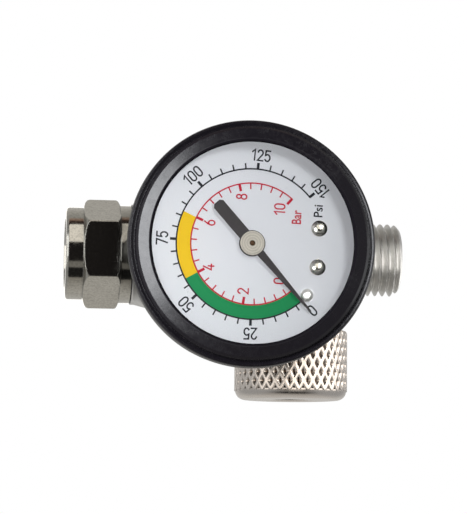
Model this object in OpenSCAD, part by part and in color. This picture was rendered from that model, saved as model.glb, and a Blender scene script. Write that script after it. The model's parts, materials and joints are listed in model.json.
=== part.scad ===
// In-line air pressure regulator: a die-cast body with a round gauge cup, a knurled throttling knob,
// a male G1/4 inlet and a swivel-nut outlet.
// The origin lies on the air line's axis, at the start of the inlet's full thread. +X runs out of the
// inlet, the gauge faces -Y and the knob hangs along -Z. All sizes are in millimetres.

/* [Air line] */
// Diameter over the crests of the G1/4 pipe thread
thread_crest_d = 13.16; // [13.10:0.01:13.20]
// Diameter at the roots of the G1/4 pipe thread
thread_root_d = 11.44; // [11.40:0.01:11.50]
// Distance from one thread turn to the next
thread_pitch = 1.337; // [1.32:0.001:1.35]
// Distance from the gauge axis to the end of the male thread
inlet_reach = 29.1; // [29:0.1:30]
// Distance from the gauge axis to the open end of the swivel nut
outlet_reach = 31.3; // [31.1:0.1:31.8]
// Distance from the gauge axis to each end of the cast neck
neck_reach = 19.5; // [19.4:0.1:19.5]
// Diameter of the cast neck
neck_d = 18; // [17.8:0.1:18.2]
// Diameter of the air passage along the line
line_bore_d = 5.5; // [5:0.1:5.6]

/* [Swivel nut] */
// Width across the flats of the swivel nut
nut_af = 17; // [16.8:0.1:17.2]
// Diameter of the nut's plain outer collar
nut_mouth_d = 16.6; // [16.4:0.1:16.8]
// Diameter of the nut's plain collar next to the body
nut_heel_d = 17.6; // [17.2:0.1:17.8]
// Diameter of the spigot that the nut turns on
spigot_d = 10; // [9.8:0.1:10]

/* [Gauge case] */
// Outside diameter of the gauge cup
cup_d = 42.6; // [42.4:0.1:42.8]
// Outside diameter of the bezel ring
bezel_d = 42.5; // [42.2:0.1:42.6]
// Diameter of the window inside the bezel
window_d = 34.6; // [34.0:0.1:34.8]
// Distance from the air line's axis to the front of the bezel
face_reach = 22.8; // [22.7:0.1:23]
// How far the gauge works are turned anticlockwise from upright
gauge_turn = 87.6; // [80:0.1:100]

/* [Gauge works] */
// Mean radius of the Bourdon tube's coil
tube_r = 14.6; // [14.4:0.1:14.6]
// Angle along the coil, clockwise from the socket, where the tube ends
tube_sweep = 291; // [288:1:291]
// Angle of the pointer at rest, clockwise from the foot of the dial
pointer_rest = 46.2; // [46:0.1:60]
// Length of the pointer's thin end
pointer_l = 15.5; // [14:0.1:16.2]
// Gear module of the movement
gear_m = 0.16; // [0.16]
// Teeth on the pinion
pinion_teeth = 12; // [12]
// Teeth on a full circle of the sector gear
sector_teeth = 108; // [108]

/* [Valve] */
// Distance of the valve's axis from the gauge axis
valve_x = 9.7; // [9.4:0.1:9.8]
// Diameter of the knob
knob_d = 20.3; // [20:0.1:20.4]
// Height of the knob
knob_h = 12.4; // [12.3:0.1:13]
// Distance from the air line's axis to the top of the knob with the valve shut
knob_top = 13.3; // [13.2:0.1:13.6]
// Diameter of the valve stem
stem_d = 6; // [5.8:0.1:6]
// Diameter of the hole in the valve seat
seat_d = 3.8; // [3.2:0.1:3.8]

/* [Hidden] */
$fn = 96;

// Small amount by which a cutting solid passes the face that it cuts
past = 0.5;
// Gap between still pieces that lie against one another
touch = 0.02;
// Radial gap between a turning or sliding piece and its bore
run = 0.05;

// The gauge's axis crosses the air line this far from the origin
full_thread_in = 1.5;
gauge_x = full_thread_in - inlet_reach;

crest_r = thread_crest_d / 2;
root_r = thread_root_d / 2;
spigot_r = spigot_d / 2;

// Distances in front of the air line's axis, along the gauge axis
cup_back = 8.2;
cup_floor = 10.2;
rim_front = 19.9;
shelf_front = 20.6;
base_top = 12.6;
back_plate_z = base_top + touch;
plate_t = 0.8;
pillar_z = back_plate_z + plate_t;
pillar_l = 3.5;
front_plate_z = pillar_z + pillar_l;
sector_z = 15.2;
sector_t = 0.7;
link_z = 16.15;
link_t = 0.5;
dial_back = 19.5;
dial_t = 0.4;
dial_front = dial_back + dial_t;
pointer_z = 20.35;
pointer_t = 0.25;
lens_back = 21.15;
lens_front = 22;

// Radii of the gauge case
cup_r = cup_d / 2;
cup_inner_r = 18.6;
shelf_r = 19.5;
groove_r = 20.2;
groove_floor = 18.2;
floor_r = 13.2;

// Places in the gauge works, seen from the front with the dial upright
tip_pin_angle = -25;
tip_pin_at = [tube_r * cos(tip_pin_angle), tube_r * sin(tip_pin_angle)];
sector_angle = -55;
gear_centres = gear_m * (pinion_teeth + sector_teeth) / 2;
sector_at = [gear_centres * cos(sector_angle), gear_centres * sin(sector_angle)];
tail_l = 3;
tail_angle = -40;
tail_pin_at = sector_at + [tail_l * cos(tail_angle), tail_l * sin(tail_angle)];
pillars_at = [[9, -1.8], [-4.2, -7.6], [-0.5, 6]];
plate_screws_at = [[-2.2, -5.4], [2.6, -4.6]];
socket_screws_at = [[5.4, -9.2], [-0.6, -7.6]];
rivets_at = [[-3.35, -11.5], [3.35, -11.5]];
stop_pin_at = [-8.3, -9.9];
riser_at = [1.9, -12.1];
stud_at = [-3.9, 0];
port_at = [
    valve_x * cos(gauge_turn) - 5 * sin(gauge_turn),
    -valve_x * sin(gauge_turn) - 5 * cos(gauge_turn)
];
port_r = 0.6;
port_ring_r = 1.5;
link_pin_r = 0.4;
arbor_r = 0.6;
pivot_r = 0.45;
post_r = 1.6;
rivet_r = 0.65;

// Bourdon tube's flattened section
tube_t = 1.6;
tube_h = 4.6;
tube_wall = 0.25;
tube_z = 16;

// Depths below the air line's axis, along the valve's axis
seat_z = 3.2;
chamber_r = 4.2;
bonnet_seat_z = 8;
boss_end = 12.3;
boss_r = 7.2;
bonnet_r = 5.15;
bonnet_washer_t = 0.6;
bonnet_af = 11;
bonnet_hex_z = boss_end + bonnet_washer_t + 2 * touch;
bonnet_hex_h = 2.5;
stem_r = stem_d / 2;
seal_t = 1.1;
plug_flange_t = 0.9;
plug_flange_z = seat_z + seal_t + 2 * touch;
stem_top = 5.6;
stem_foot_r = 2.5;
knob_web_z = 20.5;
knob_r = knob_d / 2;
knob_end = knob_top + knob_h;
screw_seat = 23.9;

// Places along the air line, measured from the gauge axis towards the outlet
spigot_end = 24;
wire_at = 21.2;
wire_r = 0.55;
wire_ring_r = spigot_r + 0.04;
washer_t = 1.2;
nut_heel = neck_reach + 0.15;
nut_hex_start = 21.4;
nut_hex_end = 28.5;
nut_relief_start = 23.2;
nut_thread_start = 25.4;

// Draws its children with +Z along +X, starting at the given distance from the gauge axis
module along_line(x) {
    translate([gauge_x + x, 0, 0]) rotate([0, 90, 0]) children();
}

// Draws its children with +Z towards the outlet, starting at the given distance from the gauge axis
module towards_outlet(x) {
    translate([gauge_x - x, 0, 0]) rotate([0, -90, 0]) children();
}

// Draws its children with +Z towards the front of the gauge
module gauge_axis() {
    translate([gauge_x, 0, 0]) rotate([90, 0, 0]) children();
}

// Draws the gauge works, which stand turned in the cup
module gauge_works() {
    gauge_axis() rotate([0, 0, gauge_turn]) children();
}

// Draws its children on the valve's axis, with +Z down towards the knob
module valve_axis() {
    translate([gauge_x + valve_x, 0, 0]) rotate([180, 0, 0]) children();
}

// Moves its children to each place in a list, at one height
module at_each(places, z) {
    for (place = places) translate([place[0], place[1], z]) children();
}

// Flat ring standing on z = 0
module ring(outer_r, inner_r, height) {
    difference() {
        cylinder(r = outer_r, h = height);
        translate([0, 0, -past]) cylinder(r = inner_r, h = height + 2 * past);
    }
}

// Ring of round section, centred on z = 0
module round_ring(ring_r, section_r) {
    rotate_extrude() translate([ring_r, 0]) circle(r = section_r, $fn = 32);
}

// One V groove of the pipe thread as points of radius and distance
function v_groove(mouth_r, floor_r, x) = let (flat = thread_pitch / 8) [
    [mouth_r, x - thread_pitch / 2 + flat],
    [floor_r, x - flat],
    [floor_r, x + flat],
    [mouth_r, x + thread_pitch / 2 - flat]
];

// The points of several V grooves, one pitch apart
function v_grooves(mouth_r, floor_r, start, count) = [
    for (i = [0 : count - 1], p = v_groove(mouth_r, floor_r, start + i * thread_pitch)) p
];

// Male thread of the inlet, drawn as rings, on its undercut and with a chamfered end
module inlet_thread() {
    undercut_end = neck_reach + 1;
    thread_start = undercut_end + 1.4;
    lead_in = 1.1;
    grooves = 5;
    rotate_extrude() polygon(concat(
        [[0, neck_reach - past], [root_r, neck_reach - past], [root_r, undercut_end],
            [crest_r, undercut_end + 0.5]],
        v_grooves(crest_r, root_r, thread_start, grooves),
        [[crest_r, inlet_reach - lead_in], [crest_r - 0.9, inlet_reach], [0, inlet_reach]]
    ));
}

// Outline of the gauge cup's outside, as radius and distance forward
module cup_outside() {
    rotate_extrude() polygon([
        [0, cup_back], [12.6, cup_back], [13.6, cup_back + 0.4], [cup_r - 1.1, 13.9],
        [cup_r - 0.4, 15], [cup_r, 19.2], [cup_r, rim_front - 0.3], [cup_r - 0.3, rim_front],
        [shelf_r, rim_front], [shelf_r, shelf_front], [0, shelf_front]
    ]);
}

// Space inside the gauge cup, with the groove that takes the bezel
module cup_inside() {
    rotate_extrude() polygon([
        [0, cup_floor], [floor_r, cup_floor], [cup_inner_r, 15.2],
        [cup_inner_r, shelf_front + past], [0, shelf_front + past]
    ]);
    translate([0, 0, groove_floor]) ring(groove_r, shelf_r, 5);
}

// Cast web that blends one end of the neck into the back of the cup. Its neck end lies just inside
// the neck, and its round front lies in the cup's back at the given distance from the gauge axis.
module cast_web(neck_start, neck_end, inset, front_x, front_r, front_z) {
    hull() {
        along_line(neck_start) cylinder(r = neck_d / 2 - inset, h = neck_end - neck_start, $fn = 48);
        gauge_axis() translate([front_x, 0, front_z]) cylinder(r = front_r, h = 0.8, $fn = 64);
    }
}

// Spigot that the nut turns on, with a nose that holds the washer and a groove for the wire
module outlet_spigot() {
    difference() {
        towards_outlet(neck_reach - past) union() {
            cylinder(r = spigot_r, h = spigot_end - neck_reach + past);
            cylinder(r = 3.4, h = spigot_end - neck_reach + past + 1);
        }
        towards_outlet(wire_at) round_ring(wire_ring_r, wire_r + touch);
    }
}

// Passages from the inlet past the valve seat to the outlet, and the port to the gauge
module air_passages() {
    bore_r = line_bore_d / 2;
    along_line(valve_x) cylinder(r = bore_r, h = inlet_reach);
    along_line(inlet_reach - 0.8) cylinder(r1 = bore_r, r2 = bore_r + 1.2, h = 1.2);
    towards_outlet(-1.5) cylinder(r = bore_r, h = outlet_reach);
    valve_axis() cylinder(r = seat_d / 2, h = seat_z + past);
    valve_axis() translate([0, 0, seat_z]) cylinder(r = chamber_r, h = bonnet_seat_z);
    valve_axis() translate([0, 0, bonnet_seat_z]) cylinder(r = bonnet_r + touch, h = boss_end);
    // Slanting passage from the top of the valve chamber up to the outlet bore
    along_line(1.5) rotate([0, 45, 0]) cylinder(r = 1.5, h = 7.6);
    gauge_works() translate([port_at[0], port_at[1], 2]) cylinder(r = port_r, h = cup_floor);
}

module die_cast_body() {
    color([0.70, 0.70, 0.68])
    difference() {
        union() {
            gauge_axis() cup_outside();
            along_line(-neck_reach) cylinder(r = neck_d / 2, h = 2 * neck_reach);
            cast_web(0.3 - neck_reach, 3, 0.1, -6.2, 13.4, 13.8);
            cast_web(-2.7, neck_reach - 1, 0.15, 6.5, 11.4, 10.6);
            valve_axis() cylinder(r = boss_r, h = boss_end);
            along_line(0) inlet_thread();
            outlet_spigot();
        }
        gauge_axis() cup_inside();
        air_passages();
        gauge_works() at_each(socket_screws_at, 6.4) cylinder(r = 0.85, h = cup_floor);
    }
}

module bezel_ring() {
    window_r = window_d / 2;
    bezel_r = bezel_d / 2;
    color([0.03, 0.03, 0.035])
    gauge_axis() rotate_extrude() polygon([
        [window_r, lens_front + touch], [window_r, face_reach - 0.35],
        [window_r + 0.12, face_reach - 0.08], [window_r + 0.4, face_reach],
        [groove_r - 0.65, face_reach - 0.45], [groove_r - 0.25, face_reach - 0.75],
        [groove_r - 0.05, face_reach - 1.2], [groove_r, face_reach - 1.65],
        [groove_r + 0.15, face_reach - 1.6], [bezel_r - 0.45, face_reach - 1.35],
        [bezel_r - 0.15, face_reach - 1.55], [bezel_r, face_reach - 2],
        [bezel_r, rim_front + 0.35], [bezel_r - 0.15, rim_front + touch],
        [groove_r - run, rim_front + touch], [groove_r - run, groove_floor + 0.2],
        [shelf_r + run, groove_floor + 0.2], [shelf_r + run, lens_front - 0.1],
        [shelf_r - 0.1, lens_front + touch]
    ]);
}

module lens() {
    color([0.85, 0.92, 0.95, 0.25])
    gauge_axis() translate([0, 0, lens_back]) cylinder(r = shelf_r - 0.2, h = lens_front - lens_back);
}

module lens_gasket() {
    color([0.05, 0.05, 0.05])
    gauge_axis() translate([0, 0, shelf_front + touch])
        ring(shelf_r - touch, cup_inner_r + 0.1, lens_back - shelf_front - 2 * touch);
}

module dial_plate() {
    color([0.88, 0.91, 0.94])
    gauge_works() difference() {
        translate([0, 0, dial_back]) cylinder(r = cup_inner_r - 0.2, h = dial_t);
        translate([0, 0, dial_back - past]) cylinder(r = 1.5, h = dial_t + 2 * past);
        at_each(rivets_at, dial_back - past) cylinder(r = rivet_r + touch, h = dial_t + 2 * past);
        at_each([stop_pin_at], dial_back - past) cylinder(r = 0.5 + touch, h = dial_t + 2 * past);
    }
}

// Domed head standing on z = 0
module domed_head(r, height) {
    crown = height * 0.65;
    sphere_r = (r * r + crown * crown) / (2 * crown);
    cylinder(r = r, h = height - crown);
    intersection() {
        translate([0, 0, height - sphere_r]) sphere(r = sphere_r);
        translate([0, 0, height - crown - 0.01]) cylinder(r = r, h = crown + 0.02);
    }
}

module dial_rivets() {
    color([0.85, 0.85, 0.85])
    gauge_works() at_each(rivets_at, dial_front + touch) {
        domed_head(1.38, 0.9);
        translate([0, 0, -4]) cylinder(r = rivet_r, h = 4.1);
    }
}

module pointer_stop_pin() {
    color([0.85, 0.85, 0.85])
    gauge_works() at_each([stop_pin_at], dial_front + touch) {
        domed_head(1.1, 1.1);
        translate([0, 0, -1]) cylinder(r = 0.5, h = 1.1);
    }
}

// Outline of the Bourdon tube's section, shrunk by the given amount
module tube_section(inset) {
    half_t = tube_t / 2;
    straight = tube_h / 2 - half_t;
    square([tube_t - 2 * inset, 2 * straight], center = true);
    for (side = [-1, 1]) translate([0, side * straight]) circle(r = half_t - inset);
}

// The coil of the tube over an arc, as a solid of its section
module tube_arc(start, sweep, inset) {
    translate([0, 0, tube_z]) rotate([0, 0, start])
        rotate_extrude(angle = sweep) translate([tube_r, 0]) tube_section(inset);
}

// Brass block that joins the cup to the Bourdon tube and carries the dial's posts
module bourdon_socket() {
    tower_w = 2.6;
    color([0.72, 0.58, 0.30])
    gauge_works() difference() {
        union() {
            intersection() {
                translate([0, 0, cup_floor + touch]) cylinder(r = floor_r - 0.2, h = 2.38);
                translate([-7, -14, cup_floor]) cube([14, 10.8, 3]);
            }
            at_each(rivets_at, base_top - 0.2) cylinder(r = post_r, h = dial_back - base_top + 0.18);
            translate([-tower_w, -13, base_top - 0.2]) cube([2 * tower_w, 2.4, 6]);
            translate([-tower_w, -16.4, 13.5]) cube([2 * tower_w, 3.6, 5.4]);
        }
        tube_arc(-130, 46, -touch);
        at_each(rivets_at, 15.4) cylinder(r = rivet_r + touch, h = 5);
        at_each(socket_screws_at, cup_floor - past) cylinder(r = 0.85, h = 4);
        at_each(socket_screws_at, base_top - 1.05) cylinder(r = 1.3, h = 2);
        at_each(plate_screws_at, base_top - 1.8) cylinder(r = 0.62, h = 3);
        at_each([port_at], cup_floor - past) cylinder(r = port_r, h = past + 2);
        at_each([port_at], cup_floor - past) cylinder(r = port_ring_r + 0.6, h = past + 0.8);
        cross_passage();
    }
}

// Passage inside the socket, from the port across to the riser and up to the tube's open end
module cross_passage() {
    run_x = riser_at[0] - port_at[0];
    run_y = riser_at[1] - port_at[1];
    level = cup_floor + 1.4;
    translate([port_at[0], port_at[1], level])
        rotate([0, 90, atan2(run_y, run_x)]) cylinder(r = 0.4, h = norm([run_x, run_y]));
    translate([riser_at[0], riser_at[1], level - 0.7]) cylinder(r = 0.5, h = tube_z - level + 1.4);
    translate([riser_at[0], riser_at[1], tube_z]) rotate([90, 0, 0])
        cylinder(r = 0.4, h = tube_r + riser_at[1] + 0.5);
    translate([1, -tube_r, tube_z]) rotate([0, 90, 0]) cylinder(r = 0.3, h = riser_at[0] - 1);
}

module socket_seal() {
    color([0.05, 0.05, 0.05])
    gauge_works() at_each([port_at], cup_floor + 0.42) round_ring(port_ring_r, 0.38);
}

// Small screw with its seat at z = 0 and its shank below
module small_screw(head_r, head_h, shank_r, shank_l) {
    difference() {
        union() {
            cylinder(r = head_r, h = head_h);
            translate([0, 0, -shank_l]) cylinder(r = shank_r, h = shank_l + 0.1);
        }
        translate([-head_r - past, -head_r / 7, head_h * 0.55])
            cube([2 * head_r + 2 * past, head_r / 3.5, head_h]);
    }
}

module socket_screws() {
    color([0.70, 0.70, 0.70])
    gauge_works() at_each(socket_screws_at, base_top - 1.05 + touch) small_screw(1.25, 0.9, 0.8, 4.6);
}

module bourdon_tube() {
    start = -90 - tube_sweep;
    sweep = tube_sweep + 6;
    color([0.78, 0.62, 0.30])
    gauge_works() difference() {
        tube_arc(start, sweep, 0);
        tube_arc(start - 1, sweep + 2, tube_wall);
    }
}

// End piece that closes the moving end of the tube and carries the link's pin
module tube_tip() {
    cap_start = -90 - tube_sweep - 2.6;
    color([0.72, 0.58, 0.30])
    gauge_works() difference() {
        union() {
            tube_arc(cap_start, 2.5, -0.15);
            at_each([tip_pin_at], sector_z) cylinder(r = 1.1, h = sector_t);
        }
        at_each([tip_pin_at], sector_z - past) cylinder(r = link_pin_r + touch, h = 2);
        at_each([tip_pin_at], sector_z + sector_t) cylinder(r = 1.3, h = 1.3);
    }
}

module tip_link_pin() {
    color([0.60, 0.60, 0.62])
    gauge_works() at_each([tip_pin_at], sector_z) cylinder(r = link_pin_r, h = 1.6);
}

module sector_link_pin() {
    color([0.60, 0.60, 0.62])
    gauge_works() at_each([tail_pin_at], sector_z) cylinder(r = link_pin_r, h = 1.6);
}

// Bar that joins the tube's tip to the sector's tail
module link_bar() {
    span = tip_pin_at - tail_pin_at;
    eye_r = 0.95;
    color([0.75, 0.60, 0.32])
    gauge_works() translate([tail_pin_at[0], tail_pin_at[1], link_z])
    rotate([0, 0, atan2(span[1], span[0])]) difference() {
        union() {
            cylinder(r = eye_r, h = link_t);
            translate([norm(span), 0, 0]) cylinder(r = eye_r, h = link_t);
            translate([0, -0.55, 0]) cube([norm(span), 1.1, link_t]);
        }
        translate([0, 0, -past]) cylinder(r = link_pin_r + 0.12, h = 2);
        translate([norm(span), 0, -past]) cylinder(r = link_pin_r + run, h = 2);
    }
}

// Brass plate of the movement, with the given holes for the two arbors
module movement_plate(z, arbor_hole_r, sector_hole_r) {
    difference() {
        translate([0, 0, z]) linear_extrude(plate_t) polygon([
            [10.4, -2.6], [10.2, -0.8], [0.9, 7.4], [-1.9, 7.2], [-5.8, -7], [-5, -9],
            [5, -9.9], [7.3, -9]
        ]);
        at_each(rivets_at, z - past) cylinder(r = post_r + 0.3, h = plate_t + 2 * past);
        at_each([[0, 0]], z - past) cylinder(r = arbor_hole_r, h = plate_t + 2 * past);
        at_each([sector_at], z - past) cylinder(r = sector_hole_r, h = plate_t + 2 * past);
        at_each(pillars_at, z - past) cylinder(r = 0.62, h = plate_t + 2 * past);
    }
}

module movement_back_plate() {
    color([0.78, 0.64, 0.34])
    gauge_works() difference() {
        movement_plate(back_plate_z, pivot_r + run, pivot_r + run);
        at_each(plate_screws_at, back_plate_z - past) cylinder(r = 0.65, h = plate_t + 2 * past);
        at_each([stud_at], back_plate_z - past) cylinder(r = 0.3 + touch, h = plate_t + 2 * past);
    }
}

module movement_front_plate() {
    color([0.78, 0.64, 0.34])
    gauge_works() movement_plate(front_plate_z, arbor_r + run, pivot_r + run);
}

module movement_pillars() {
    color([0.70, 0.56, 0.30])
    gauge_works() {
        at_each(pillars_at, pillar_z + touch) difference() {
            cylinder(r = 1.1, h = pillar_l - 2 * touch);
            translate([0, 0, pillar_l - 2]) cylinder(r = 0.62, h = 3);
        }
        at_each(pillars_at, back_plate_z) cylinder(r = 0.6, h = plate_t + 0.1);
    }
}

module movement_screws() {
    color([0.60, 0.60, 0.60])
    gauge_works() at_each(plate_screws_at, pillar_z + touch) small_screw(1.05, 0.7, 0.6, 2.4);
}

module front_plate_screws() {
    color([0.60, 0.60, 0.60])
    gauge_works() at_each(pillars_at, front_plate_z + plate_t + touch) small_screw(1.05, 0.7, 0.6, 2.2);
}

// Flat spiral that takes up the play of the gears
module hairspring() {
    turns = 3.5;
    inner_r = 1.02;
    outer_r = 3.6;
    half_w = 0.05;
    steps = 84;
    function spiral(i, side) = let (
        r = inner_r + (outer_r - inner_r) * i / steps + side * half_w,
        a = 180 + 360 * turns * (i / steps - 1)
    ) [r * cos(a), r * sin(a)];
    color([0.80, 0.66, 0.36])
    gauge_works() translate([0, 0, 13.8]) linear_extrude(0.5) polygon(concat(
        [for (i = [0 : steps]) spiral(i, 1)],
        [for (i = [steps : -1 : 0]) spiral(i, -1)]
    ));
}

module hairspring_stud() {
    color([0.72, 0.58, 0.30])
    gauge_works() at_each([stud_at], back_plate_z) cylinder(r = 0.24, h = 1.9);
}

// Points of one gear tooth, as radius and angle, about the given angle
function tooth(pitch_r, a) = let (
    backlash = 0.05,
    half = (PI * gear_m / 2 - backlash) / 2,
    foot = atan((half + 0.055) / (pitch_r - 1.15 * gear_m)),
    head = atan((half - 0.05) / (pitch_r + 0.8 * gear_m))
) [
    [pitch_r - 1.15 * gear_m, a - foot], [pitch_r + 0.8 * gear_m, a - head],
    [pitch_r + 0.8 * gear_m, a + head], [pitch_r - 1.15 * gear_m, a + foot]
];

function polar(p) = [p[0] * cos(p[1]), p[0] * sin(p[1])];

// Toothed sector with its hub and its tail
module sector_gear() {
    pitch_r = gear_m * sector_teeth / 2;
    step = 360 / sector_teeth;
    mesh_angle = 180 + sector_angle;
    first = -11;
    last = 2;
    rim_inner = 7.2;
    rim_a0 = mesh_angle + (first - 0.5) * step;
    rim_a1 = mesh_angle + (last + 0.5) * step;
    color([0.80, 0.66, 0.36])
    gauge_works() translate([sector_at[0], sector_at[1], 0]) difference() {
        union() {
            translate([0, 0, sector_z]) linear_extrude(sector_t) polygon(concat(
                [for (i = [first : last], p = tooth(pitch_r, mesh_angle + i * step)) polar(p)],
                [for (i = [0 : 6]) polar([rim_inner, rim_a1 + (rim_a0 - rim_a1) * i / 6])]
            ));
            for (a = [rim_a0 + 3, rim_a1 - 3]) rotate([0, 0, a])
                translate([0, -0.55, sector_z]) cube([rim_inner + 0.4, 1.1, sector_t]);
            rotate([0, 0, tail_angle]) translate([0, -0.7, sector_z]) cube([tail_l, 1.4, sector_t]);
            rotate([0, 0, tail_angle]) translate([tail_l, 0, sector_z]) cylinder(r = 0.95, h = sector_t);
            translate([0, 0, sector_z - 0.8]) cylinder(r = 1.5, h = sector_t + 0.8);
        }
        translate([0, 0, sector_z - 2]) cylinder(r = arbor_r + touch, h = 4);
        translate([tail_pin_at[0] - sector_at[0], tail_pin_at[1] - sector_at[1], sector_z - past])
            cylinder(r = link_pin_r + touch, h = 2);
    }
}

// Arbor with thin pivots at both ends, from a back height to a front height
module arbor(back, front) {
    translate([0, 0, back]) cylinder(r = pivot_r, h = front - back);
    translate([0, 0, pillar_z + 0.1]) cylinder(r = arbor_r, h = pillar_l - 0.2);
}

module sector_arbor() {
    color([0.60, 0.60, 0.62])
    gauge_works() at_each([sector_at], 0) arbor(back_plate_z + 0.1, front_plate_z + plate_t);
}

// Arbor cut with the pinion, carrying the hairspring's collet and the pointer
module pinion_arbor() {
    pitch_r = gear_m * pinion_teeth / 2;
    step = 360 / pinion_teeth;
    color([0.72, 0.60, 0.36])
    gauge_works() {
        translate([0, 0, back_plate_z + 0.1]) cylinder(r = pivot_r, h = 1);
        translate([0, 0, pillar_z + 0.1]) cylinder(r = arbor_r, h = pointer_z - pillar_z - 0.4);
        translate([0, 0, pointer_z - 0.4]) cylinder(r = pivot_r, h = 1);
        translate([0, 0, 13.75]) cylinder(r = 0.9, h = 0.6);
        translate([0, 0, 14.9]) linear_extrude(1.3) polygon([
            for (i = [0 : pinion_teeth - 1], p = tooth(pitch_r, sector_angle + (i + 0.5) * step)) polar(p)
        ]);
    }
}

// Blade of the pointer, with its broad tail and its thin end
module pointer() {
    color([0.07, 0.06, 0.06])
    gauge_works() rotate([0, 0, -90 - pointer_rest]) difference() {
        union() {
            translate([0, 0, pointer_z]) linear_extrude(pointer_t) polygon([
                [1.5, -0.7], [pointer_l - 0.3, -0.15], [pointer_l, 0], [pointer_l - 0.3, 0.15],
                [1.5, 0.7], [-1.5, 1.05], [-8.8, 1.05], [-9.3, 0.6], [-9.3, -0.6], [-8.8, -1.05],
                [-1.5, -1.05]
            ]);
            translate([0, 0, pointer_z]) cylinder(r = 2.25, h = pointer_t);
        }
        translate([0, 0, pointer_z - past]) cylinder(r = pivot_r + touch, h = 2);
    }
}

module pointer_hub() {
    hub_r = 2.08;
    color([0.82, 0.82, 0.82])
    gauge_works() translate([0, 0, pointer_z + pointer_t + touch]) difference() {
        cylinder(r = hub_r, h = 0.3);
        translate([0, 0, -past]) cylinder(r = pivot_r + touch, h = 2);
    }
}

// Hexagonal nut with domed ends, a plain collar at each end and a thread drawn as rings inside
module swivel_nut() {
    corner_r = nut_af / sqrt(3);
    hex_l = nut_hex_end - nut_hex_start;
    heel_in = 3.0;
    heel_along = 0.95;
    mouth_in = 4.0;
    mouth_along = 1.5;
    collar_round = 0.7;
    color([0.78, 0.77, 0.74])
    difference() {
        union() {
            intersection() {
                towards_outlet(nut_hex_start) cylinder(r = corner_r, h = hex_l, $fn = 6);
                towards_outlet(nut_hex_start) rotate_extrude() polygon([
                    [0, 0],
                    for (a = [0 : 15 : 90])
                        [corner_r - heel_in * (1 - sin(a)), heel_along * (1 - cos(a))],
                    for (a = [0 : 15 : 90])
                        [corner_r - mouth_in * (1 - cos(a)), hex_l - mouth_along * (1 - sin(a))],
                    [0, hex_l]
                ]);
            }
            towards_outlet(nut_heel) cylinder(r = nut_heel_d / 2, h = nut_hex_start - nut_heel + 0.25);
            towards_outlet(0) rotate_extrude() polygon([
                [0, nut_hex_end - mouth_along], [nut_mouth_d / 2, nut_hex_end - mouth_along],
                for (a = [0 : 15 : 90]) [
                    nut_mouth_d / 2 - collar_round * (1 - cos(a)),
                    outlet_reach - collar_round * (1 - sin(a))
                ],
                [0, outlet_reach]
            ]);
        }
        towards_outlet(0) nut_inside();
    }
}

// Stepped and threaded hole through the swivel nut
module nut_inside() {
    mouth_chamfer = 0.9;
    rotate_extrude() polygon(concat(
        [[0, nut_heel - past], [spigot_r + run, nut_heel - past], [spigot_r + run, nut_relief_start],
            [crest_r + 0.1, nut_relief_start + 0.4], [crest_r + 0.1, nut_thread_start],
            [root_r, nut_thread_start + 0.4]],
        v_grooves(root_r, crest_r, nut_thread_start + 1.2, 3),
        [[root_r, outlet_reach - mouth_chamfer], [root_r + mouth_chamfer, outlet_reach],
            [root_r + mouth_chamfer, outlet_reach + past], [0, outlet_reach + past]]
    ));
    translate([0, 0, wire_at]) round_ring(wire_ring_r, wire_r + 0.07);
}

module nut_retaining_wire() {
    color([0.65, 0.65, 0.66])
    towards_outlet(wire_at) round_ring(wire_ring_r, wire_r);
}

module outlet_washer() {
    color([0.90, 0.90, 0.86])
    towards_outlet(spigot_end + touch) ring(5.5, 3.4 + touch, washer_t);
}

// Threaded gland that closes the valve chamber and carries the stem
module valve_bonnet() {
    groove_z = 9.3;
    color([0.76, 0.62, 0.32])
    valve_axis() difference() {
        union() {
            translate([0, 0, bonnet_seat_z + touch]) cylinder(r = bonnet_r, h = bonnet_hex_z - bonnet_seat_z);
            translate([0, 0, bonnet_hex_z]) cylinder(r = bonnet_af / sqrt(3), h = bonnet_hex_h, $fn = 6);
        }
        cylinder(r = stem_r + run, h = 30);
        translate([0, 0, groove_z]) ring(stem_r + 1, stem_r - past, 1.3);
    }
}

module bonnet_washer() {
    color([0.75, 0.45, 0.28])
    valve_axis() translate([0, 0, boss_end + touch]) ring(6.4, bonnet_r + run, bonnet_washer_t);
}

module stem_o_ring() {
    section_r = 0.47;
    color([0.05, 0.05, 0.05])
    valve_axis() translate([0, 0, 9.95]) round_ring(stem_r + section_r + touch, section_r);
}

// Plug that the stem lifts and lowers without turning it
module valve_plug() {
    color([0.76, 0.62, 0.32])
    valve_axis() {
        translate([0, 0, plug_flange_z]) cylinder(r = chamber_r - 0.6, h = plug_flange_t);
        translate([0, 0, plug_flange_z]) cylinder(r = 1.6, h = 3);
        translate([0, 0, seat_z + 0.4]) cylinder(r = 1, h = seal_t);
    }
}

module plug_seal() {
    color([0.12, 0.12, 0.12])
    valve_axis() translate([0, 0, seat_z + touch]) ring(chamber_r - 0.9, 1 + touch, seal_t);
}

// Stem with its socket for the plug and its foot inside the knob
module valve_stem() {
    color([0.76, 0.62, 0.32])
    valve_axis() difference() {
        union() {
            translate([0, 0, stem_top]) cylinder(r = stem_r, h = knob_web_z - stem_top);
            translate([0, 0, knob_web_z - past]) cylinder(r = stem_foot_r, h = screw_seat - knob_web_z + past - 0.2);
        }
        translate([0, 0, stem_top - past]) cylinder(r = 1.6 + run, h = 2.4 + past);
        translate([0, 0, 17]) cylinder(r = 1.5 + touch, h = 10);
    }
}

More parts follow.
